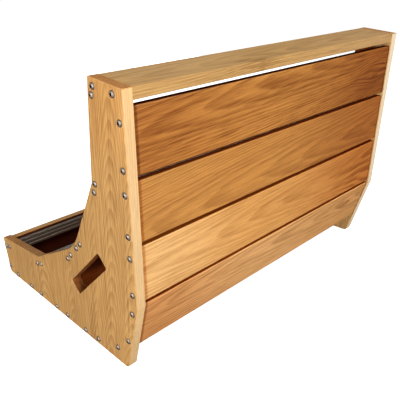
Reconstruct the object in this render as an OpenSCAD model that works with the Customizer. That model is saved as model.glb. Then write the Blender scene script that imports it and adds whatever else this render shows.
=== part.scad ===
// Four-row slatted wooden rack case for 3U panel modules: two shaped side panels,
// joined by slats and boards and by eight aluminium rails with threaded strips.
//
// X runs along the width, Y from front to back and Z up. The outline is worked out in a
// profile frame [y, z] that starts at the lower front corner. The rails form a chain:
// row 1 lies almost flat at the front and row 4 stands almost upright at the top.

/* [Module rows] */
// Width of the bay, in horizontal pitches of a module
bay_pitches = 120; // [84:1:168]
// One horizontal pitch
pitch_w = 5.08; // [5:0.01:5.2]
// Play left at the end of a full row
bay_play = 0.4; // [0:0.1:2]
// Distance between the screw lines of one row
row_screws = 122.5; // [90:0.5:150]
// Tilt of each row from the horizontal, front row first
row_tilt = [5.5, 27, 58.5, 81]; // [0:0.5:90]
// Depth of the rail axes below the panel edge, front row first
rail_inset = [15, 14.5, 10.5, 9]; // [9:0.5:22]
// Clearance between the two rails where rows 1 and 2 meet
lower_knee_clear = 4.4; // [0.5:0.1:12]
// Clearance between the two rails where rows 3 and 4 meet
upper_knee_clear = 1.6; // [0.5:0.1:12]
// Distance between the rails on both sides of the inner corner
corner_span = 64.4; // [50:0.1:90]

/* [Side panels] */
// Thickness of the side panels
panel_t = 16; // [12:1:22]
// Height of the front edge
front_h = 80.5; // [70:0.5:120]
// Depth of the panel at the top
top_depth = 69.5; // [60:0.5:110]
// Fall of the top edge towards the back
top_fall = 6.4; // [0:0.1:9]
// Backward lean of the long back edge
back_lean = 3; // [0:0.1:8]
// Height at which the back edge turns in
heel_h = 131; // [110:1:160]
// Lean of the short back edge under that turn
heel_lean = 17.2; // [10:0.1:22]
// Radius of the inner corner between rows 2 and 3
corner_r = 122; // [60:1:150]
// Radius of the two lower corners
foot_r = 9; // [3:0.5:14]

/* [Hand slots] */
// Length of the slot
slot_l = 131; // [90:1:140]
// Height of the slot
slot_h = 27; // [20:1:34]
// Corner radius of the slot
slot_r = 4; // [1:0.5:9]
// Distance of the slot's middle behind the line of the corner rails
slot_drop = 44; // [36:1:52]
// Shift of the slot upwards along that line
slot_shift = 6; // [-10:1:12]

/* [Boards] */
// Thickness of the top board, the front board and the corner strip
board_t = 16; // [12:0.5:18]
// Thickness of the slats
slat_t = 13; // [10:0.5:16]
// Setback of the slats from the panel edges
slat_setback = 1.3; // [0.5:0.1:4]
// Setback of the top board and the front board
board_setback = 0.8; // [0:0.1:3]
// Gap between two back slats
back_gap = 6.2; // [2:0.1:12]
// Gap between the top board and the first back slat
top_gap = 6.4; // [1:0.1:12]
// Gap above and below the turn of the back edge
heel_turn_gap = [6, 0.5]; // [0.5:0.5:10]
// Length left open along the back edge under the last back slat
heel_open = 46.4; // [44:0.1:70]
// Gap between two bottom slats
bottom_gap = 9.6; // [2:0.1:16]
// Gap between the front board and the first bottom slat
front_gap = 7; // [2:0.5:16]
// Gap between the last flat bottom slat and the tilted one
tilted_gap = 13.7; // [6:0.1:20]
// Width of the tilted bottom slat
tilted_w = 89; // [60:1:92]
// Tilt of that slat
tilted_a = 16; // [5:0.5:20]
// Distance of its front edge from the back foot
tilted_reach = 92; // [88:1:110]
// Height of the front board's lower edge
front_board_z = 3.5; // [1:0.5:10]
// Drop of the front board's upper edge below the panel edge
front_board_drop = 2; // [1:0.5:6]
// Clearance between a board and a rail beside it
rail_clear = 1.5; // [0.4:0.1:4]

/* [Rails] */
// Height of a rail, along the row
rail_h = 10; // [9:0.5:12]
// Reach of a rail in front of its axis
rail_nose = 7.5; // [7:0.1:8.8]
// Reach of a rail behind its axis
rail_tail = 12; // [8:0.5:16]
// Opening of the rail's front channel
channel_mouth = 3.4; // [3.2:0.1:4.4]
// Lip in front of the channel
channel_lip = 1.5; // [1:0.1:2]
// Width of the threaded strip
strip_w = 6.6; // [5.5:0.1:7]
// Thickness of the threaded strip
strip_t = 2.3; // [1.6:0.1:2.5]
// Tapping diameter of the strip's holes
strip_hole_d = 2.5; // [2.4:0.1:2.9]
// Clearance round the strip
strip_clear = 0.15; // [0.05:0.05:0.3]

/* [Screws] */
// Diameter of a screw head
head_d = 9.6; // [8:0.1:11]
// Height of a screw head
head_h = 2.8; // [2:0.1:3.6]
// Diameter of a rail screw
rail_screw_d = 5; // [4:0.5:5]
// Length of a rail screw under its head
rail_screw_l = 32; // [28:1:50]
// Diameter of a wood screw
wood_screw_d = 4.5; // [3.5:0.5:5]
// Length of a wood screw under its head
wood_screw_l = 50; // [30:1:70]
// Distance of a wood screw from the edge of a slat
screw_edge = 14.5; // [8:0.5:20]
// Distance of a wood screw from the edge of the corner strip
strip_screw_edge = 9; // [6:0.5:14]
// Distance of the top board's screws from its front edge and its back edge
top_screw_edge = [10.5, 17]; // [8:0.5:24]
// Drop of the top board's screws below the middle of its thickness
top_screw_drop = 2; // [0:0.5:3]
// Shift of each back slat's screws down the slat, upper slat first
back_screw_shift = [4, 2, 0.5, 2.5]; // [0:0.5:5]
// Radial clearance of a screw in its hole
hole_clear = 0.05; // [0.02:0.01:0.3]

/* [Hidden] */
$fn = 64;
RAIL_NAMES = [for (row = [1:4], end = ["lower", "upper"]) str("row_", row, "_", end)];

PANEL_OAK = [0.82, 0.62, 0.38];
SLAT_WOOD = [0.72, 0.46, 0.24];
ALUMINIUM = [0.66, 0.65, 0.64];
STEEL = [0.78, 0.78, 0.76];

bay_w = bay_pitches * pitch_w + bay_play;

// ---- the profile frame ----

// A step along a line at angle a, and the step to its open (left-hand) side
function along(a) = [cos(a), sin(a)];
function out(a) = [-sin(a), cos(a)];
// Where the line through p at angle a meets the line through q at angle b
function meet(p, a, q, b) =
    p + along(a) * ((q - p) * out(b)) / (along(a) * out(b));

// Points along an arc, and round a rectangle with rounded corners
function arc(centre, r, from, to, steps = 14) =
    [for (k = [0:steps]) centre + r * along(from + (to - from) * k / steps)];
function rounded_box(l, h, r) =
    [for (q = [0:3], p = arc([(q % 3 == 0 ? 1 : -1) * (l / 2 - r), (q < 2 ? 1 : -1) * (h / 2 - r)],
                             r, 90 * q, 90 * q + 90, 8)) p];

// Distance between the axes of two rails whose rows turn by 2 * half
function knee_span(half, clear) = rail_h * cos(half) + 2 * rail_nose * sin(half) + clear;

front_top = [0, front_h];
rail_lead = board_setback + board_t + rail_clear + rail_h / 2;
turn = [for (i = [0:2]) (row_tilt[i + 1] - row_tilt[i]) / 2];
spans = [knee_span(turn[0], lower_knee_clear), corner_span, knee_span(turn[2], upper_knee_clear)];

// Axis of row i's lower rail; its upper rail is row_screws further along
function row_start(i) =
    i == 0 ? front_top + rail_lead * along(row_tilt[0]) - rail_inset[0] * out(row_tilt[0])
           : row_end(i - 1) + spans[i - 1] * along(row_tilt[i - 1] + turn[i - 1]);
function row_end(i) = row_start(i) + row_screws * along(row_tilt[i]);
rail_axes = [for (i = [0:3], p = [row_start(i), row_end(i)]) p];
rail_tilts = [for (i = [0:3], end = [0, 1]) row_tilt[i]];

// Corners of the side panel
function edge_point(i) = row_start(i) + rail_inset[i] * out(row_tilt[i]);
lower_knee = meet(front_top, row_tilt[0], edge_point(1), row_tilt[1]);
inner_corner = meet(edge_point(1), row_tilt[1], edge_point(2), row_tilt[2]);
upper_knee = meet(edge_point(2), row_tilt[2], edge_point(3), row_tilt[3]);
top_rise = rail_h / 2 + 0.4 + board_t / cos(90 - row_tilt[3] - top_fall);
top_front = row_end(3) + rail_inset[3] * out(row_tilt[3]) + top_rise * along(row_tilt[3]);
top_back = top_front + top_depth * along(-top_fall);
back_a = 90 - back_lean;
heel_a = 90 - heel_lean;
heel = [top_back[0] - (top_back[1] - heel_h) * tan(back_lean), heel_h];
back_foot = [heel[0] - heel_h * tan(heel_lean), 0];
shift_y = -top_back[0] / 2;

// Rounds of the inner corner and of the two feet
corner_tangent = corner_r * tan(turn[1]);
corner_centre =
    inner_corner - corner_tangent * along(row_tilt[1]) + corner_r * out(row_tilt[1]);
foot_tangent = foot_r * tan(heel_a / 2);
front_foot_centre = [foot_r, foot_r];
back_foot_centre = back_foot + [-foot_tangent, foot_r];

// The line between the two corner rails carries the corner strip and the hand slot
corner_a = row_tilt[1] + turn[1];
corner_mid = (rail_axes[3] + rail_axes[4]) / 2;
slot_mid = corner_mid + slot_shift * along(corner_a) - slot_drop * out(corner_a);

// ---- boards: [middle, angle, width], and the screws at each end ----

back_len = norm(top_back - heel) - board_t - top_gap - heel_turn_gap[0];
back_w = (back_len - 2 * back_gap) / 3;
heel_w = heel_h / cos(heel_lean) - heel_turn_gap[1] - heel_open;
slat_depth = slat_setback + slat_t / 2;
tilted_front = [back_foot[0] - tilted_reach, slat_setback];
bottom_start = board_setback + board_t + front_gap;
bottom_w = (tilted_front[0] - tilted_gap - bottom_start - 2 * bottom_gap) / 3;

function upper_back_slat(i) =
    [heel + (heel_turn_gap[0] + back_w / 2 + (2 - i) * (back_w + back_gap)) * along(back_a)
     + slat_depth * out(back_a), back_a, back_w];
heel_back_slat =
    [heel - (heel_turn_gap[1] + heel_w / 2) * along(heel_a) + slat_depth * out(heel_a), heel_a, heel_w];
back_slats = concat([for (i = [0:2]) upper_back_slat(i)], [heel_back_slat]);

function flat_bottom_slat(i) =
    [[bottom_start + bottom_w / 2 + i * (bottom_w + bottom_gap), slat_depth], 0, bottom_w];
tilted_slat =
    [tilted_front + tilted_w / 2 * along(tilted_a) + slat_t / 2 * out(tilted_a), tilted_a, tilted_w];
bottom_slats = concat([for (i = [0:2]) flat_bottom_slat(i)], [tilted_slat]);

top_board_w = top_depth - 2 * board_setback;
top_board_place =
    [top_front + top_depth / 2 * along(-top_fall) - board_t / 2 * out(-top_fall),
     -top_fall, top_board_w];

front_board_h = front_h - front_board_drop - front_board_z;
front_board_place =
    [[board_setback + board_t / 2, front_board_z + front_board_h / 2], 90, front_board_h];

corner_strip_w = corner_span
    - 2 * (rail_h / 2 * cos(turn[1]) + board_t / 2 * sin(turn[1]) + rail_clear / 2);
corner_strip_place = [corner_mid, corner_a, corner_strip_w];

// Screw places of a board, at edge[0] from its first edge and edge[1] from its last
function screws_of(board, edge) =
    [board[0] - (board[2] / 2 - edge[0]) * along(board[1]),
     board[0] + (board[2] / 2 - edge[1]) * along(board[1])];
slat_edge = [screw_edge, screw_edge];
top_board_points =
    [for (p = screws_of(top_board_place, top_screw_edge)) p - top_screw_drop * out(-top_fall)];
front_board_points = screws_of(front_board_place, slat_edge);
corner_strip_points = screws_of(corner_strip_place, [strip_screw_edge, strip_screw_edge]);
back_slat_points =
    [for (i = [0:3], p = screws_of(back_slats[i], slat_edge))
        p - back_screw_shift[i] * along(back_slats[i][1])];
bottom_slat_points = [for (slat = bottom_slats, p = screws_of(slat, slat_edge)) p];
wood_points = concat(top_board_points, front_board_points, corner_strip_points,
                     back_slat_points, bottom_slat_points);

// ---- placing ----

// Turns a drawing in the profile frame into a bar of length l along X, from x = x0
module bar(x0, l, p = [0, 0], a = 0) {
    translate([x0, p[0] + shift_y, p[1]])
        rotate([a, 0, 0])
            rotate([90, 0, 90])
                linear_extrude(l) children();
}

// Puts children on a side panel's outer face, +Z outwards; side is 1 (right) or -1 (left)
module on_side(side, p) {
    translate([side * (bay_w / 2 + panel_t), p[0] + shift_y, p[1]])
        rotate([0, 90 * side, 0]) children();
}

module screw_holes(points, d, l) {
    for (side = [1, -1], p = points)
        on_side(side, p)
            translate([0, 0, -l]) cylinder(d = d + 2 * hole_clear, h = l + 1);
}

// ---- side panels ----

outline = concat(
    arc(front_foot_centre, foot_r, -90, -180),
    [front_top, lower_knee],
    arc(corner_centre, corner_r, row_tilt[1] - 90, row_tilt[2] - 90),
    [upper_knee, top_front, top_back, heel],
    arc(back_foot_centre, foot_r, heel_a - 90, -90));

module side_panel_outline() {
    difference() {
        polygon(outline);
        translate(slot_mid) rotate(corner_a) polygon(rounded_box(slot_l, slot_h, slot_r));
    }
}

module side_panel(side) {
    color(PANEL_OAK)
        difference() {
            bar(side > 0 ? bay_w / 2 : -bay_w / 2 - panel_t, panel_t) side_panel_outline();
            screw_holes(wood_points, wood_screw_d, wood_screw_l);
            screw_holes(rail_axes, rail_screw_d, rail_screw_l);
        }
}

// ---- boards ----

module board(place, t, points, tone) {
    color(tone)
        difference() {
            bar(-bay_w / 2, bay_w, place[0], place[1]) square([place[2], t], center = true);
            screw_holes(points, wood_screw_d, wood_screw_l + 1);
        }
}

// ---- rails and threaded strips ----

channel_w = strip_w + 2 * strip_clear;
channel_d = strip_t + 2 * strip_clear;
channel_floor = rail_nose - channel_lip - channel_d;
groove = 0.8;
groove_w = 3;

module rail_outline() {
    difference() {
        translate([-rail_h / 2, -rail_tail]) square([rail_h, rail_tail + rail_nose]);
        // front channel and its mouth
        translate([-channel_w / 2, channel_floor]) square([channel_w, channel_d]);
        translate([-channel_mouth / 2, channel_floor]) square([channel_mouth, channel_d + channel_lip + 1]);
        // bore for the end screws
        circle(d = rail_screw_d + 2 * hole_clear);
        // two grooves along each flank, and an open back
        for (side = [-1, 1], y = [-rail_tail / 2 - groove_w / 2, channel_floor - groove_w])
            translate([side * rail_h / 2 - groove, y]) square([2 * groove, groove_w]);
        translate([-rail_h / 4, -rail_tail - 1]) square([rail_h / 2, rail_tail - rail_screw_d]);
    }
}

module rail(i) {
    color(ALUMINIUM)
        bar(-bay_w / 2, bay_w, rail_axes[i], rail_tilts[i]) rail_outline();
}

module threaded_strip(i) {
    l = bay_w - 2 * strip_clear;
    color(STEEL)
        translate([0, rail_axes[i][0] + shift_y, rail_axes[i][1]])
            rotate([rail_tilts[i], 0, 0])
                translate([0, 0, channel_floor + strip_clear])
                    difference() {
                        translate([-l / 2, -strip_w / 2, 0]) cube([l, strip_w, strip_t]);
                        for (k = [0:bay_pitches - 1])
                            translate([(k - (bay_pitches - 1) / 2) * pitch_w, 0, -1])
                                cylinder(d = strip_hole_d, h = strip_t + 2, $fn = 24);
                    }
}

// ---- screws, head up ----

module domed_head() {
    dome_r = (head_d * head_d / 4 + head_h * head_h) / (2 * head_h);
    intersection() {
        translate([0, 0, head_h - dome_r]) sphere(dome_r);
        cylinder(d = head_d, h = head_h);
    }
}

module wood_screw() {
    tip = wood_screw_d;
    difference() {
        domed_head();
        for (a = [0, 90])
            rotate(a) translate([-head_d / 4, -0.5, head_h * 0.45]) cube([head_d / 2, 1, head_h]);
    }
    translate([0, 0, tip - wood_screw_l]) cylinder(d = wood_screw_d, h = wood_screw_l - tip);
    translate([0, 0, -wood_screw_l]) cylinder(d1 = 0.6, d2 = wood_screw_d, h = tip);
}

module rail_screw() {
    difference() {
        domed_head();
        translate([0, 0, head_h * 0.4]) cylinder(d = 3.5, h = head_h, $fn = 6);
    }
    translate([0, 0, -rail_screw_l]) cylinder(d = rail_screw_d, h = rail_screw_l);
}

module wood_screws(points) {
    color(STEEL)
        for (side = [1, -1], p = points) on_side(side, p) wood_screw();
}

module rail_screws() {
    color(STEEL)
        for (side = [1, -1], p = rail_axes) on_side(side, p) rail_screw();
}

// ---- nodes ----

side_panel(1);  // right_side_panel
side_panel(-1);  // left_side_panel
board(top_board_place, board_t, top_board_points, PANEL_OAK);  // top_board
board(front_board_place, board_t, front_board_points, PANEL_OAK);  // front_board
board(corner_strip_place, board_t, corner_strip_points, PANEL_OAK);  // corner_strip
for (i = [0:3]) {
    board(back_slats[i], slat_t, back_slat_points, SLAT_WOOD);
    board(bottom_slats[i], slat_t, bottom_slat_points, SLAT_WOOD);
}
for (i = [0:7]) {
    rail(i);
    threaded_strip(i);
}
wood_screws(top_board_points);  // top_board_screws
wood_screws(front_board_points);  // front_board_screws
wood_screws(corner_strip_points);  // corner_strip_screws
wood_screws(back_slat_points);  // back_slat_screws
wood_screws(bottom_slat_points);  // bottom_slat_screws
rail_screws();
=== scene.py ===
import math

import bmesh
import bpy
from mathutils import Matrix, Vector
from mathutils.bvhtree import BVHTree


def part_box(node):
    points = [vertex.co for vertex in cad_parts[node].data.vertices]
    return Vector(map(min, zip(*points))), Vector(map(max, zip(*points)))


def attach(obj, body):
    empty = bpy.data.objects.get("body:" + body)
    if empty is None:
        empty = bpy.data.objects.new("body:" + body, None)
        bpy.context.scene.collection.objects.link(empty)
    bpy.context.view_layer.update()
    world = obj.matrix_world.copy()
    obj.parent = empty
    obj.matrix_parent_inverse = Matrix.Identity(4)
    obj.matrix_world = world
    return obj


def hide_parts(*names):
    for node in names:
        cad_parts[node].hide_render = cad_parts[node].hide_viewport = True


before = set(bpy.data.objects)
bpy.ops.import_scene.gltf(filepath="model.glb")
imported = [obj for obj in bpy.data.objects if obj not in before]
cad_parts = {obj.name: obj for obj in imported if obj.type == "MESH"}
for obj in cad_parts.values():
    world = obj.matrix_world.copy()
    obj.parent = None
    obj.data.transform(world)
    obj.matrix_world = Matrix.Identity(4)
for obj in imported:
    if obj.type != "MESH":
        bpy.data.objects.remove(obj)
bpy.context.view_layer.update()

print("frame loaded:", len(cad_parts), "nodes")


class Wire:
    # One output socket. Sums and products on it add Math nodes.
    def __init__(self, socket):
        self.socket = socket

    def node(self, kind, settings=None, values=None, out=0):
        tree = self.socket.id_data
        made = tree.nodes.new(kind)
        for key, value in (settings or {}).items():
            setattr(made, key, value)
        for key, value in (values or {}).items():
            plugIn(made.inputs[key], value)
        return Wire(made.outputs[out])

    def maths(self, operation, *values, clamp=False):
        settings = {"operation": operation, "use_clamp": clamp}
        return self.node("ShaderNodeMath", settings, dict(enumerate(values)))

    def __add__(self, other):
        return self.maths("ADD", self, other)

    def __sub__(self, other):
        return self.maths("SUBTRACT", self, other)

    def __rsub__(self, other):
        return self.maths("SUBTRACT", other, self)

    def __mul__(self, other):
        return self.maths("MULTIPLY", self, other)

    def __truediv__(self, other):
        return self.maths("DIVIDE", self, other)

    def __rtruediv__(self, other):
        return self.maths("DIVIDE", other, self)

    def __pow__(self, other):
        return self.maths("POWER", self, other)

    def __neg__(self):
        return self * -1

    def __abs__(self):
        return self.maths("ABSOLUTE", self)

    __radd__ = __add__
    __rmul__ = __mul__

    def floor(self):
        return self.maths("FLOOR", self)

    def fract(self):
        return self.maths("FRACT", self)

    def clamp(self):
        return self.maths("ADD", self, 0, clamp=True)

    def between(self, low, high):
        # 0 below low, 1 above high and smooth in between
        values = {"Value": self, "From Min": low, "From Max": high}
        return self.node("ShaderNodeMapRange", {"interpolation_type": "SMOOTHSTEP"}, values)

    def parts(self):
        return [self.node("ShaderNodeSeparateXYZ", None, {0: self}, i) for i in range(3)]

    def joined(self, y, z):
        return self.node("ShaderNodeCombineXYZ", None, {0: self, 1: y, 2: z})

    def noise(self, stretch, seed, detail=2.0, roughness=0.5):
        # cloudy noise whose blotches are as long as stretch says, in the wire's units
        scaled = self.node("ShaderNodeVectorMath", {"operation": "DIVIDE"}, {0: self, 1: stretch})
        values = {"Vector": scaled, "W": seed, "Scale": 1.0}
        values.update({"Detail": detail, "Roughness": roughness})
        return self.node("ShaderNodeTexNoise", {"noise_dimensions": "4D"}, values)

    def blend(self, first, second):
        # this wire says how much of the second colour is taken
        return self.node("ShaderNodeMix", {"data_type": "RGBA"}, {0: self, 6: first, 7: second}, 2)

    def tinted(self, other):
        # two colours multiplied
        settings = {"data_type": "RGBA", "blend_type": "MULTIPLY"}
        return self.node("ShaderNodeMix", settings, {0: 1.0, 6: self, 7: other}, 2)


def plugIn(socket, value):
    if isinstance(value, Wire):
        socket.id_data.links.new(value.socket, socket)
    elif isinstance(value, tuple) and len(value) == 3 and socket.type == "RGBA":
        socket.default_value = (*value, 1.0)
    else:
        socket.default_value = value


def startMaterial(name):
    material = bpy.data.materials.new(name)
    material.use_nodes = True
    tree = material.node_tree
    shader = tree.nodes["Principled BSDF"]
    place = Wire(tree.nodes.new("ShaderNodeTexCoord").outputs["Object"])
    return material, shader, place


# lengths are in millimetres, and colours are linear
plain = (1.0, 1.0, 1.0)
oak = {
    "light": (0.50, 0.26, 0.080),
    "dark": (0.36, 0.165, 0.042),
    "far": plain,  # tint at the -X end, or at the foot of a panel
    "near": plain,  # tint at the +X end, or at the top of a panel
    "ring": 3.2,  # width of a year ring
    "pith": (10.0, -70.0),  # heart of the tree, beside and below the board's middle
    "taper": 0.03,  # how fast the rings drift along the board
    "sway": 16.0,  # slow wander of the grain
    "contrast": 0.85,
    "stave": 0.0,  # width of one stave in a glued panel
    "length": 610.0,
    "highlight": (0.80, 0.59, 0.33),  # colour of the painted highlight on the back edges, which face the light
    "highlightShare": 0.45,  # how much of that painted highlight those edges take
    "shadeTint": plain,  # tint of the painted shade on faces out of the light, which also darkens the cut ends
    "lean": 0.0,  # slope of the grain across the board
    "corner": 0.0,  # how dark the painted shadow line is where a slat meets the panels
    "knots": (),  # along, across, size, heart and strength of each
    "seed": 1.0,
}
# how long and wide the blotches of each noise are, and the part that each plays in the shade
grain = {
    "sway": (320.0, 110.0, 110.0),
    "ripple": (60.0, 12.0, 12.0),
    "thick": (18.0, 1.0, 1.0),
    "broad": (380.0, 30.0, 30.0),
    "streak": (110.0, 4.0, 4.0),
    "fine": (48.0, 1.4, 1.4),
    "fibre": (16.0, 0.7, 0.7),
    "pores": (9.0, 0.42, 0.42),
}
shares = {"late": 0.42, "streak": 0.26, "fine": 0.36, "broad": 0.14}
finish = {"roughness": 0.55, "coat": 0.45, "coatRoughness": 0.42, "specular": 0.06, "relief": 0.25}
# how far apart in the tree the staves were cut, how the grain swings round a knot, and how
# far from a slat's end the painted shadow line starts and is full
shuffle = {"along": 900, "across": 1.6, "depth": 60}
swing = {"stretch": 0.42, "pull": 0.8, "reach": 7, "strong": 6}
cornerLine = (6.5, 3.0)
# in metres, where the painted shade on the inside of a panel starts, behind its leaning back and
# above the floor
panelBack = {"slope": 0.0524, "sill": (0.04, 0.07), "inset": (0.026, 0.036)}


def woodMaterial(name, look, centre, turn):
    look = {**oak, **look}
    material, shader, place = startMaterial(name)
    values = {"Vector": place, "Location": centre, "Rotation": turn, "Scale": (0.001,) * 3}
    board = place.node("ShaderNodeMapping", {"vector_type": "TEXTURE"}, values)
    along, across, depth = board.parts()
    seed = look["seed"]
    reach = along / look["length"] + 0.5
    # a painted shadow line near each end of a slat
    outset = [look["length"] / 2 - inwards for inwards in cornerLine]
    corner = abs(along).between(*outset) * look["corner"]

    # the grain leans across a wide face but runs straight along a sawn edge, found by its painted
    # highlight
    rim = place.node("ShaderNodeAttribute", {"attribute_name": "rim"}, None, 2)
    slant = along * (1 - rim.maths("MAXIMUM", rim, 0.0))
    across = across + slant * look["lean"]
    stave = None
    if look["stave"]:
        # a panel glued up from staves, each cut from another place in the tree
        stave = (across / look["stave"] + seed).floor()
        across = across - (stave - seed + 0.5) * look["stave"]
        values = {"W": stave + seed}
        luck = stave.node("ShaderNodeTexWhiteNoise", {"noise_dimensions": "1D"}, values, 1)
        luckA, luckB, luckC = luck.parts()
        along = along + luckA * shuffle["along"]
        slant = slant + luckA * shuffle["along"]
        across = across + (luckB - 0.5) * look["stave"] * shuffle["across"]
        depth = depth + (luckC - 0.5) * shuffle["depth"]

    knotted = stronger = 0
    for knotAlong, knotAcross, size, heart, strength in look["knots"]:
        # the grain swings round a knot and is stronger beside it
        lengthways = (along - knotAlong) * swing["stretch"]
        crossways = across - knotAcross
        away = (lengthways * lengthways + crossways * crossways) ** 0.5
        pulled = 1 - away.between(size * 0.5, size * swing["reach"])
        across = across - pulled * crossways * swing["pull"]
        knotted = knotted + (1 - away.between(size * 0.5, size)) * heart
        stronger = stronger + (1 - away.between(size, size * swing["strong"])) * strength
    board = along.joined(across, depth)

    # year rings round the heart of the tree, which runs beside the board
    sway = board.noise(grain["sway"], seed, 1.0) - 0.5
    ripple = board.noise(grain["ripple"], seed + 3, 2.0) - 0.5
    sideways = across - look["pith"][0] + sway * look["sway"]
    inwards = depth - look["pith"][1]
    radius = (sideways * sideways + inwards * inwards) ** 0.5
    radius = radius + slant * look["taper"] + ripple * 1.8 + sway * look["sway"] * 0.5
    thick = radius.joined(seed, 0.0).noise(grain["thick"], seed, 1.0) - 0.5
    ring = (radius / look["ring"] + thick * 1.6).fract()
    late = ring.between(0.15, 0.85) * (1 - ring.between(0.88, 1.0))

    # colour runs along the grain in streaks of several widths
    broad = board.noise(grain["broad"], seed + 7, 2.0).between(0.36, 0.64)
    bent = along.joined(across + radius * 0.35, depth)
    streak = bent.noise(grain["streak"], seed + 11, 2.0, 0.6).between(0.42, 0.6)
    fine = bent.noise(grain["fine"], seed + 12, 2.0, 0.6).between(0.48, 0.6)
    fibre = board.noise(grain["fibre"], seed + 13, 2.0, 0.6)
    pores = board.noise(grain["pores"], seed + 17, 1.0).between(0.58, 0.7) * (1 - late * 0.7)

    dark = late * shares["late"] + streak * shares["streak"]
    dark = dark + fine * shares["fine"] + broad * shares["broad"] - 0.1
    shade = (dark * (stronger + 1) * look["contrast"] + knotted).clamp()
    colour = shade.blend(look["light"], look["dark"])
    if stave:
        colour = colour.tinted(luckB.blend((0.90, 0.89, 0.86), (1.08, 1.08, 1.08)))
    colour = colour.tinted(reach.between(0.0, 0.6).blend(look["far"], plain))
    colour = colour.tinted(reach.between(0.6, 1.0).blend(plain, look["near"]))
    speck = (fibre.between(0.25, 0.75) * 0.14 + (1 - pores) * 0.2 + 0.68).clamp()
    colour = colour.tinted(speck.joined(speck, speck))

    # painted highlight on the edges that face the light; painted shade on faces out of the light,
    # which also darkens the cut ends
    colour = (rim.maths("MAXIMUM", rim, 0.0) * look["highlightShare"]).blend(colour, look["highlight"])
    # how much painted shade each face takes
    woodShade = rim.maths("MAXIMUM", -rim, 0.0)
    if stave:
        # the painted shade on the inside of a panel is left off outside the slats, at the back and
        # at the foot
        y, z = place.parts()[1:]
        inset = look["back"] - (look["top"] - z) * panelBack["slope"] - y
        deep = z.between(*panelBack["sill"]) * inset.between(*panelBack["inset"])
        woodShade = woodShade * (1 - (1 - deep) * woodShade.between(0.6, 0.9))
    woodShade = woodShade.maths("MAXIMUM", woodShade, corner)
    colour = woodShade.blend(colour, colour.tinted(look["shadeTint"]))
    plugIn(shader.inputs["Base Color"], colour)
    roughness = finish["roughness"] + pores * 0.2 + shade * 0.08 + woodShade * 0.35
    plugIn(shader.inputs["Roughness"], roughness.clamp())
    # a thin coat of oil shines, taken off where shade is painted
    plugIn(shader.inputs["Coat Weight"], (finish["coat"] - woodShade * 0.6).clamp())
    shader.inputs["Coat Roughness"].default_value = finish["coatRoughness"]
    relief = fibre * 0.25 - pores * 0.7 - late * 0.2
    values = {"Strength": finish["relief"], "Distance": 0.0004, "Height": relief}
    plugIn(shader.inputs["Normal"], relief.node("ShaderNodeBump", None, values))
    shader.inputs["Specular IOR Level"].default_value = finish["specular"]
    return material


railLook = {
    "dull": (0.27, 0.235, 0.185),
    "bright": (0.44, 0.40, 0.33),
    "roughness": 0.34,
    "lines": (0.9, 0.00035, 0.00035),  # length and width of the drawn lines, in metres
    "easing": 0.18,  # width of a worn edge, in millimetres
}


def railMaterial():
    # satin anodised aluminium, with the drawn lines of an extrusion along X
    material, shader, place = startMaterial("railAluminium")
    drawn = place.noise(railLook["lines"], 2.0, 3.0, 0.6)
    cloud = place.noise((0.05, 0.02, 0.02), 5.0, 3.0)
    colour = drawn.between(0.3, 0.7).blend(railLook["dull"], railLook["bright"])
    plugIn(shader.inputs["Base Color"], colour)
    roughness = railLook["roughness"] + drawn * 0.12 + cloud * 0.08
    plugIn(shader.inputs["Roughness"], roughness)
    shader.inputs["Metallic"].default_value = 1.0
    values = {"Strength": 0.2, "Distance": 0.0001, "Height": drawn}
    plugIn(shader.inputs["Normal"], drawn.node("ShaderNodeBump", None, values))
    return material


stripLook = {
    "dull": (0.60, 0.61, 0.62),
    "bright": (0.74, 0.74, 0.72),
    "roughness": 0.26,
    "bloom": (0.004, 0.004, 0.004),  # size of the cloudy spots, in metres
    "lines": (0.3, 0.0004, 0.0004),
}


def stripMaterial():
    # bright zinc on the threaded strips
    material, shader, place = startMaterial("stripZinc")
    bloom = place.noise(stripLook["bloom"], 9.0, 4.0, 0.6)
    drawn = place.noise(stripLook["lines"], 4.0, 2.0)
    colour = bloom.between(0.35, 0.65).blend(stripLook["dull"], stripLook["bright"])
    plugIn(shader.inputs["Base Color"], colour)
    roughness = stripLook["roughness"] + bloom * 0.2 + drawn * 0.06
    plugIn(shader.inputs["Roughness"], roughness)
    shader.inputs["Metallic"].default_value = 1.0
    return material


screwLook = {
    "dull": (0.26, 0.21, 0.17),
    "bright": (0.42, 0.36, 0.31),
    "roughness": 0.43,
    "scuff": (0.0016, 0.0016, 0.0016),  # size of the scuffs, in metres
    # colour of the painted shade in the recess and towards the rim
    "screwShade": (0.045, 0.03, 0.022),
    "recess": (0.43, 0.51),  # shares of the head's radius over which the painted shade in the recess ends
    "rim": (0.88, 1.0),  # and over which the painted shade starts again towards the rim
}


def screwMaterial():
    # plain stainless steel, a little scuffed, with painted shade in the recess and round the rim
    material, shader, place = startMaterial("screwSteel")
    scuff = place.noise(screwLook["scuff"], 6.0, 4.0, 0.7)
    colour = scuff.between(0.3, 0.7).blend(screwLook["dull"], screwLook["bright"])
    reach = place.node("ShaderNodeAttribute", {"attribute_name": "reach"}, None, 2)
    # painted shade: dark in the recess, and again towards the rim
    screwShade = 1 - reach.between(*screwLook["recess"]) * 0.97
    screwShade = screwShade + reach.between(*screwLook["rim"]) * 0.65
    colour = screwShade.clamp().blend(colour, screwLook["screwShade"])
    plugIn(shader.inputs["Base Color"], colour)
    roughness = screwLook["roughness"] + scuff * 0.2 + screwShade * 0.3
    plugIn(shader.inputs["Roughness"], roughness.clamp())
    shader.inputs["Metallic"].default_value = 1.0
    values = {"Strength": 0.1, "Distance": 0.0001, "Height": scuff}
    plugIn(shader.inputs["Normal"], scuff.node("ShaderNodeBump", None, values))
    return material


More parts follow.
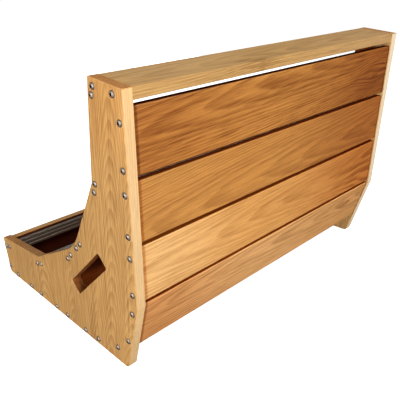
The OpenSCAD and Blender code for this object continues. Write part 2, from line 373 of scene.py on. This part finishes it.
boardLooks = {
    "right_side_panel": {
        "seed": 3.2, "pith": (6.0, -46.0), "light": (0.6, 0.335, 0.115),
        "dark": (0.35, 0.165, 0.046), "near": (1.16, 1.1, 1.02),
    },
    "left_side_panel": {
        "seed": 8.7, "pith": (-8.0, -50.0), "highlightShare": 0.7, "light": (0.66, 0.38, 0.14),
        "dark": (0.37, 0.18, 0.052), "highlight": (0.95, 0.8, 0.58),
    },
    "top_board": {
        "seed": 12.4, "pith": (8.0, -60.0), "light": (0.56, 0.33, 0.118),
        "dark": (0.315, 0.158, 0.049), "far": (1.02, 1.04, 1.2),
        "knots": ((75.0, 30.0, 6.0, 0.3, 0.5),),
    },
    "front_board": {
        "seed": 15.1, "pith": (-12.0, -55.0), "shadeTint": (0.15, 0.055, 0.06),
    },
    "corner_strip": {
        "seed": 17.9, "pith": (5.0, -48.0),
    },
    "back_slat_1": {
        "seed": 21.3, "pith": (34.0, -58.0), "lean": 0.08, "contrast": 1.05,
        "light": (0.49, 0.205, 0.044), "dark": (0.21, 0.062, 0.009), "far": (0.69, 0.5, 0.35),
        "near": (0.86, 0.78, 0.72), "shadeTint": (0.22, 0.075, 0.02),
        "knots": ((-262.0, -20.0, 6.0, 0.1, 0.4),),
    },
    "back_slat_2": {
        "seed": 25.6, "pith": (-22.0, -75.0), "lean": 0.05, "light": (0.525, 0.227, 0.052),
        "dark": (0.245, 0.085, 0.0153), "far": (0.78, 0.58, 0.44), "near": (1.0, 1.05, 1.12),
    },
    "back_slat_3": {
        "seed": 29.2, "pith": (4.0, -62.0), "light": (0.68, 0.33, 0.095),
        "dark": (0.373, 0.144, 0.029), "far": (0.78, 0.54, 0.33), "near": (1.12, 1.33, 1.8),
        "knots": ((-345.0, -30.0, 15.0, 0.8, 2.0),),
    },
    "back_slat_4": {
        "seed": 33.8, "pith": (18.0, -66.0), "light": (0.86, 0.45, 0.17),
        "dark": (0.36, 0.145, 0.036), "far": (0.95, 0.88, 0.76), "near": (0.8, 0.68, 0.58),
        "shadeTint": (0.3, 0.12, 0.02), "knots": ((-247.0, 15.0, 3.5, 1.0, 0.8),),
    },
    "bottom_slat_1": {
        "seed": 37.4, "pith": (12.0, -70.0), "light": (0.48, 0.2, 0.05),
        "dark": (0.3, 0.11, 0.024),
    },
    "bottom_slat_2": {
        "seed": 41.1, "pith": (-16.0, -64.0), "light": (0.56, 0.27, 0.08),
        "dark": (0.36, 0.14, 0.035),
    },
    "bottom_slat_3": {
        "seed": 45.9, "pith": (20.0, -80.0), "light": (0.45, 0.18, 0.042),
        "dark": (0.27, 0.09, 0.018),
    },
    "bottom_slat_4": {
        "seed": 49.5, "pith": (-6.0, -58.0), "light": (0.52, 0.24, 0.065),
        "dark": (0.34, 0.13, 0.03),
    },
}
# what the boards of one kind share; the easing is the width of a worn edge
kindLooks = {
    "panel": {"easing": 1.1, "shadeTint": (0.42, 0.16, 0.05), "stave": 74.0, "length": 444.0,
              "lean": -0.17, "taper": 0.12, "sway": 24.0, "contrast": 1.2},
    "back_slat": {"easing": 1.9, "shadeTint": (0.52, 0.21, 0.027), "corner": 0.62},
    "bottom_slat": {"easing": 1.9, "shadeTint": (0.50, 0.20, 0.10)},
    "board": {"easing": 1.0, "shadeTint": (0.22, 0.09, 0.04)},
}
# in metres and radians
shaping = {
    "weld": 1e-6,
    "flat": math.radians(0.5),  # faces closer than this are one face
    "sharp": math.radians(35),  # edges sharper than this are eased
    "smooth": math.radians(32),
    "screwSmooth": math.radians(30),
    "bore": 0.0032,  # edges this close to a screw's axis stay as they are
    "slotView": 0.14,  # how far a wall of the hand slot may look before it meets the other
}
screwNodes = [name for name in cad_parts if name.endswith("_screws")]


def looseParts(mesh):
    # the vertices of each separate solid in a CAD node
    work = bmesh.new()
    work.from_mesh(mesh)
    bmesh.ops.remove_doubles(work, verts=work.verts, dist=shaping["weld"])
    left = set(work.verts)
    solids = []
    while left:
        front = [left.pop()]
        solid = list(front)
        while front:
            for edge in front.pop().link_edges:
                for vert in edge.verts:
                    if vert in left:
                        left.remove(vert)
                        front.append(vert)
                        solid.append(vert)
        solids.append([vert.co.copy() for vert in solid])
    work.free()
    return solids


def screwSpots(node, face):
    # where each screw of a node meets the outer face of its side panel, and on which side
    spots = []
    for solid in looseParts(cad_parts[node].data):
        side = 1 if solid[0].x > 0 else -1
        y = (min(p.y for p in solid) + max(p.y for p in solid)) / 2
        z = (min(p.z for p in solid) + max(p.z for p in solid)) / 2
        spots.append((Vector((side * face, y, z)), side))
    return sorted(spots, key=lambda spot: tuple(spot[0]))


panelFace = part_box("right_side_panel")[1].x
spotsOf = {node: screwSpots(node, panelFace) for node in screwNodes}
allSpots = [spot for spots in spotsOf.values() for spot, side in spots]
print("screws found:", len(allSpots))


def nearBore(point):
    return any(math.hypot(point.y - spot.y, point.z - spot.z) < shaping["bore"] for spot in allSpots)


def easedCopy(node, name, bevel, tone=None):
    # a copy of a CAD node with its sharp edges eased, except round the bores; tone gives each face
    # its painted light, from painted highlight (1) to painted shade (-1)
    work = bmesh.new()
    work.from_mesh(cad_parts[node].data)
    bmesh.ops.remove_doubles(work, verts=work.verts, dist=shaping["weld"])
    bmesh.ops.dissolve_limit(work, angle_limit=shaping["flat"], verts=work.verts, edges=work.edges)
    sharp = [edge for edge in work.edges
             if len(edge.link_faces) == 2 and edge.calc_face_angle() > shaping["sharp"]
             and not (nearBore(edge.verts[0].co) and nearBore(edge.verts[1].co))]
    # each face's painted light: painted highlight above 0, painted shade below 0
    rim = work.faces.layers.float.new("rim")
    made = bmesh.ops.bevel(work, geom=sharp, offset=bevel / 1000, offset_type="OFFSET", segments=3,
                           profile=0.5, affect="EDGES", clamp_overlap=True)
    if tone:
        around = BVHTree.FromBMesh(work)
        eased = set(made["faces"])
        for face in work.faces:
            face[rim] = tone(face, face in eased, around)
    mesh = bpy.data.meshes.new(name)
    work.to_mesh(mesh)
    work.free()
    mesh.shade_smooth()
    mesh.set_sharp_from_angle(angle=shaping["smooth"])
    piece = bpy.data.objects.new(name, mesh)
    bpy.context.scene.collection.objects.link(piece)
    piece.modifiers.new("even", "WEIGHTED_NORMAL")
    return finished(piece)


def panelTone(face, eased, around):
    # a face that looks across at the same panel is a wall of its hand slot, and gets painted shade
    centre = face.calc_center_median()
    # the inner face gets painted shade
    if abs(face.normal.x) > 0.9:
        return -1.0 if face.normal.x * centre.x < 0 else 0.0
    facing = around.ray_cast(centre + face.normal * 0.0005, face.normal, shaping["slotView"])[0]
    if facing:
        return -0.8
    # the back edges, which face the light, get painted highlight
    if face.normal.y > 0.5 and not eased:
        return 1.0 if face.normal.y > 0.97 else 0.9
    # eased edges on the outside and at the back get a little painted highlight
    if eased and (face.normal.x * centre.x > 0 or face.normal.y > 0.5):
        return 0.15
    # the other faces get painted shade, which also darkens the cut ends
    return -0.42


def backSlatTone(face, eased, around):
    # painted shade on bevels facing down, and on every face but the back one: the faces in the gaps,
    # the ends and the inside
    if eased:
        return -0.5 if face.normal.z < -0.1 else 0.0
    return 0.0 if face.normal.y > 0.6 else -1.0


def bottomSlatTone(face, eased, around):
    # painted shade on the top faces inside the tray and on the narrow faces
    wide = 0.02  # a slat's wide faces have more than this many square metres
    return -1.0 if face.normal.z > 0.1 or face.calc_area() < wide else 0.0


def topBoardTone(face, eased, around):
    # painted shade on the underside
    return -0.8 if face.normal.z < -0.6 else 0.0


def frontBoardTone(face, eased, around):
    # painted shade on the inner face
    return -1.0 if face.normal.y > 0.6 else 0.0


def finished(piece):
    # the evaluated shape as a plain mesh, with the modifiers taken off
    bpy.context.view_layer.update()
    shaped = piece.evaluated_get(bpy.context.evaluated_depsgraph_get())
    shape = bpy.data.meshes.new_from_object(shaped)
    piece.modifiers.clear()
    piece.data = shape
    shape.name = piece.name
    return piece


def boardTurn(node):
    # a board's turn about X, taken from its widest faces
    areas = {}
    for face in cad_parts[node].data.polygons:
        if abs(face.normal.x) < 0.1 and face.normal.z > 0.01:
            turn = round(math.degrees(math.atan2(-face.normal.y, face.normal.z)), 1)
            areas[turn] = areas.get(turn, 0.0) + face.area
    return math.radians(max(areas, key=areas.get))


tones = {
    "panel": panelTone,
    "back_slat": backSlatTone,
    "bottom_slat": bottomSlatTone,
    "top_board": topBoardTone,
    "front_board": frontBoardTone,
    "corner_strip": frontBoardTone,
}


def makeBoards():
    for node, look in boardLooks.items():
        low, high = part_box(node)
        tone = next(tones[kind] for kind in tones if kind in node)
        kind = next((kind for kind in kindLooks if kind in node), "board")
        look = {**kindLooks[kind], **look, "back": high.y, "top": high.z}
        piece = easedCopy(node, node + "_wood", look["easing"], tone)
        turn = (0, -math.pi / 2, 0) if "panel" in node else (boardTurn(node), 0, 0)
        piece.data.materials.clear()
        piece.data.materials.append(woodMaterial(node + "_oak", look, (low + high) / 2, turn))
        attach(piece, "root")
        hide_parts(node)
        print("board made:", node)


screwKinds = {
    "wood": {"Shank Diameter": 4.4, "Shank Length": 49.0},
    "rail": {"Shank Diameter": 5.0, "Shank Length": 32.0},
}
screwSizes = {
    "Head Diameter": 9.6,
    "Head Height": 2.8,
    "Rim Height": 0.5,
    "Recess Width": 4.5,
    "Recess Depth": 1.9,
    "Shank Diameter": 4.4,
    "Shank Length": 30.0,
    "Seed": 4,
}


def screwTree(name, material, hexRecess):
    # screw heads on a cloud of points, each turned at random about its own axis
    tree = bpy.data.node_groups.new(name, "GeometryNodeTree")
    face = tree.interface
    face.new_socket("Geometry", in_out="INPUT", socket_type="NodeSocketGeometry")
    for label in screwSizes:
        kind = "NodeSocketInt" if label == "Seed" else "NodeSocketFloat"
        face.new_socket(label, in_out="INPUT", socket_type=kind)
    face.new_socket("Geometry", in_out="OUTPUT", socket_type="NodeSocketGeometry")
    source = tree.nodes.new("NodeGroupInput")
    size = {label: Wire(source.outputs[label]) for label in screwSizes}
    start = Wire(source.outputs["Geometry"])

    def moved(shape, x, y, z):
        offset = start.node("ShaderNodeCombineXYZ", None, {0: x, 1: y, 2: z})
        return start.node("GeometryNodeTransform", None, {"Geometry": shape, "Translation": offset})

    metre = {label: wire * 0.001 for label, wire in size.items() if label != "Seed"}
    radius = metre["Head Diameter"] * 0.5
    rise = metre["Head Height"] - metre["Rim Height"]
    ballRadius = (radius * radius + rise * rise) / (rise * 2)
    ball = start.node("GeometryNodeMeshUVSphere", None,
                      {"Segments": 40, "Rings": 48, "Radius": ballRadius})
    ball = moved(ball, 0.0, 0.0, metre["Head Height"] - ballRadius)
    barrel = start.node("GeometryNodeMeshCylinder", {"fill_type": "NGON"},
                        {"Vertices": 40, "Radius": radius, "Depth": metre["Head Height"] * 2})
    barrel = moved(barrel, 0.0, 0.0, metre["Head Height"])
    exact = {"solver": "EXACT"}
    head = start.node("GeometryNodeMeshBoolean", {"operation": "INTERSECT", **exact}, {"Mesh": ball})
    tree.links.new(barrel.socket, head.socket.node.inputs["Mesh"])
    # one hexagonal socket, or two turned by half a flat for a star drive
    for turn in (0.0,) if hexRecess else (0.0, math.pi / 6):
        recess = start.node("GeometryNodeMeshCylinder", {"fill_type": "NGON"},
                            {"Vertices": 6, "Radius": metre["Recess Width"] * 0.5,
                             "Depth": metre["Recess Depth"] * 2})
        lifted = start.node("ShaderNodeCombineXYZ", None, {2: metre["Head Height"]})
        values = {"Geometry": recess, "Translation": lifted, "Rotation": (0.0, 0.0, turn)}
        cutter = start.node("GeometryNodeTransform", None, values)
        cut = start.node("GeometryNodeMeshBoolean", {"operation": "DIFFERENCE", **exact},
                         {"Mesh 1": head})
        tree.links.new(cutter.socket, cut.socket.node.inputs["Mesh 2"])
        head = cut
    # how far each point lies from the screw's axis, as a share of the head's radius
    spot = start.node("GeometryNodeInputPosition").parts()
    reach = (spot[0] * spot[0] + spot[1] * spot[1]) ** 0.5 / radius
    head = start.node("GeometryNodeStoreNamedAttribute", {"data_type": "FLOAT", "domain": "POINT"},
                      {"Geometry": head, "Name": "reach", "Value": reach})
    shank = start.node("GeometryNodeMeshCylinder", {"fill_type": "NGON"},
                       {"Vertices": 16, "Radius": metre["Shank Diameter"] * 0.5,
                        "Depth": metre["Shank Length"]})
    shank = moved(shank, 0.0, 0.0, metre["Shank Length"] * -0.5)
    screw = start.node("GeometryNodeJoinGeometry", None, {0: head})
    tree.links.new(shank.socket, screw.socket.node.inputs[0])

    side = start.node("GeometryNodeInputNamedAttribute", {"data_type": "FLOAT"}, {"Name": "side"})
    outwards = start.node("ShaderNodeCombineXYZ", None, {0: side, 1: 0.0, 2: 0.0})
    aim = start.node("FunctionNodeAlignRotationToVector", {"axis": "Z"}, {"Vector": outwards})
    spin = start.node("FunctionNodeRandomValue", {"data_type": "FLOAT"},
                      {"Max": math.tau, "Seed": size["Seed"]}, "Value")
    about = start.node("ShaderNodeCombineXYZ", None, {0: 0.0, 1: 0.0, 2: spin})
    roll = start.node("FunctionNodeEulerToRotation", None, {0: about})
    turned = start.node("FunctionNodeRotateRotation", {"rotation_space": "LOCAL"},
                        {"Rotation": aim, "Rotate By": roll})
    spots = start.node("GeometryNodeMeshToPoints", None, {"Mesh": start})
    placed = start.node("GeometryNodeInstanceOnPoints", None,
                        {"Points": spots, "Instance": screw, "Rotation": turned})
    solid = start.node("GeometryNodeRealizeInstances", None, {"Geometry": placed})
    painted = start.node("GeometryNodeSetMaterial", None, {"Geometry": solid, "Material": material})
    sink = tree.nodes.new("NodeGroupOutput")
    tree.links.new(painted.socket, sink.inputs[0])
    return tree


def makeScrews(material):
    for node in screwNodes:
        kind = "rail" if node == "rail_screws" else "wood"
        sizes = {**screwSizes, **screwKinds[kind]}
        sizes["Head Height"] = (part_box(node)[1].x - panelFace) * 1000
        cloud = bpy.data.meshes.new(node + "_points")
        cloud.from_pydata([tuple(spot) for spot, side in spotsOf[node]], [], [])
        cloud.attributes.new("side", "FLOAT", "POINT").data.foreach_set(
            "value", [float(side) for spot, side in spotsOf[node]])
        piece = bpy.data.objects.new(node + "_steel", cloud)
        bpy.context.scene.collection.objects.link(piece)
        tree = screwTree(node + "_heads", material, kind == "rail")
        grow = piece.modifiers.new("screws", "NODES")
        grow.node_group = tree
        for item in tree.interface.items_tree:
            if item.in_out == "INPUT" and item.name in sizes:
                grow[item.identifier] = sizes[item.name]
        finished(piece)
        piece.data.set_sharp_from_angle(angle=shaping["screwSmooth"])
        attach(piece, "root")
        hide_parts(node)
        print("screws made:", node, len(piece.data.polygons))


def makeRails(aluminium, zinc):
    for node in [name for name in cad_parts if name.endswith("_rail")]:
        piece = easedCopy(node, node + "_profile", railLook["easing"])
        piece.data.materials.clear()
        piece.data.materials.append(aluminium)
        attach(piece, "root")
        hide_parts(node)
    for node in [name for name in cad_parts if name.endswith("_threaded_strip")]:
        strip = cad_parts[node]
        strip.data.materials.clear()
        strip.data.materials.append(zinc)
    print("rails and strips dressed")


studio = {
    "sweep": ((6.0, 0.0), (14.0, 0.0), (17.0, 0.6), (19.0, 2.4), (20.0, 6.0), (20.0, 14.0)),
    "sides": 48,
    "aim": (0.0, 0.0, 0.2),  # where every softbox points
    "floorGlow": 0.9,
    "world": 0.12,
    "camera": (0.6393, 0.6985, 0.547),
    "heading": -43.14,
    "dip": 25.06,
    "roll": -2.15,
    "lens": 44.71,
    "shift": (-0.0045, 0.0228),
}
softboxes = [
    {"name": "backSoftbox", "place": (0.85, 1.8, 0.5), "size": 0.9, "watts": 38.0},
    {"name": "highSoftbox", "place": (-0.2, 1.1, 2.2), "size": 1.2, "watts": 34.0},
    {"name": "sideSoftbox", "place": (2.7, -0.15, 0.6), "size": 1.6, "watts": 64.0},
    {"name": "frontSoftbox", "place": (-1.7, -2.4, 0.3), "size": 1.4, "watts": 18.0},
]


def makeStudio():
    # a round floor that sweeps up into its own backdrop
    work = bmesh.new()
    centre = work.verts.new((0, 0, 0))
    sides = studio["sides"]
    rings = []
    for reach, height in studio["sweep"]:
        rings.append([work.verts.new((reach * math.cos(step * math.tau / sides),
                                      reach * math.sin(step * math.tau / sides), height))
                      for step in range(sides)])
    for step in range(sides):
        after = (step + 1) % sides
        work.faces.new((centre, rings[0][step], rings[0][after]))
        for inner, outer in zip(rings, rings[1:]):
            work.faces.new((inner[step], outer[step], outer[after], inner[after]))
    mesh = bpy.data.meshes.new("studioFloor")
    work.to_mesh(mesh)
    work.free()
    floor = bpy.data.objects.new("studioFloor", mesh)
    bpy.context.scene.collection.objects.link(floor)
    material, shader, place = startMaterial("floorPaper")
    shader.inputs["Base Color"].default_value = (0.9, 0.9, 0.9, 1)
    shader.inputs["Roughness"].default_value = 0.9
    shader.inputs["Specular IOR Level"].default_value = 0.1
    shader.inputs["Emission Color"].default_value = (1, 1, 1, 1)
    shader.inputs["Emission Strength"].default_value = studio["floorGlow"]
    mesh.materials.append(material)
    floor.visible_diffuse = False
    floor.visible_glossy = False

    world = bpy.data.worlds.new("studioWorld")
    world.use_nodes = True
    back = world.node_tree.nodes["Background"]
    back.inputs["Color"].default_value = (1, 1, 1, 1)
    back.inputs["Strength"].default_value = studio["world"]
    bpy.context.scene.world = world
    bpy.context.scene.view_settings.view_transform = "Standard"

    for box in softboxes:
        light = bpy.data.lights.new(box["name"], "AREA")
        light.shape = "SQUARE"
        light.size = box["size"]
        light.energy = box["watts"]
        lamp = bpy.data.objects.new(box["name"], light)
        lamp.location = box["place"]
        ahead = Vector(studio["aim"]) - lamp.location
        lamp.rotation_euler = ahead.to_track_quat("-Z", "Y").to_euler()
        bpy.context.scene.collection.objects.link(lamp)


def makeCamera():
    heading, dip, roll = (math.radians(studio[key]) for key in ("heading", "dip", "roll"))
    ahead = Vector((math.sin(heading) * math.cos(dip),
                    -math.cos(heading) * math.cos(dip), -math.sin(dip)))
    level = ahead.cross(Vector((0, 0, 1))).normalized()
    upright = level.cross(ahead)
    right = level * math.cos(roll) + upright * math.sin(roll)
    up = upright * math.cos(roll) - level * math.sin(roll)
    lens = bpy.data.cameras.new("studioCamera")
    lens.sensor_width = 36.0
    lens.lens = studio["lens"]
    lens.shift_x, lens.shift_y = studio["shift"]
    lens.clip_start = 0.01
    camera = bpy.data.objects.new("studioCamera", lens)
    turn = Matrix((right, up, -ahead)).transposed().to_4x4()
    camera.matrix_world = Matrix.Translation(studio["camera"]) @ turn
    bpy.context.scene.collection.objects.link(camera)
    bpy.context.scene.camera = camera


makeCamera()
makeStudio()
makeBoards()
makeScrews(screwMaterial())
makeRails(railMaterial(), stripMaterial())
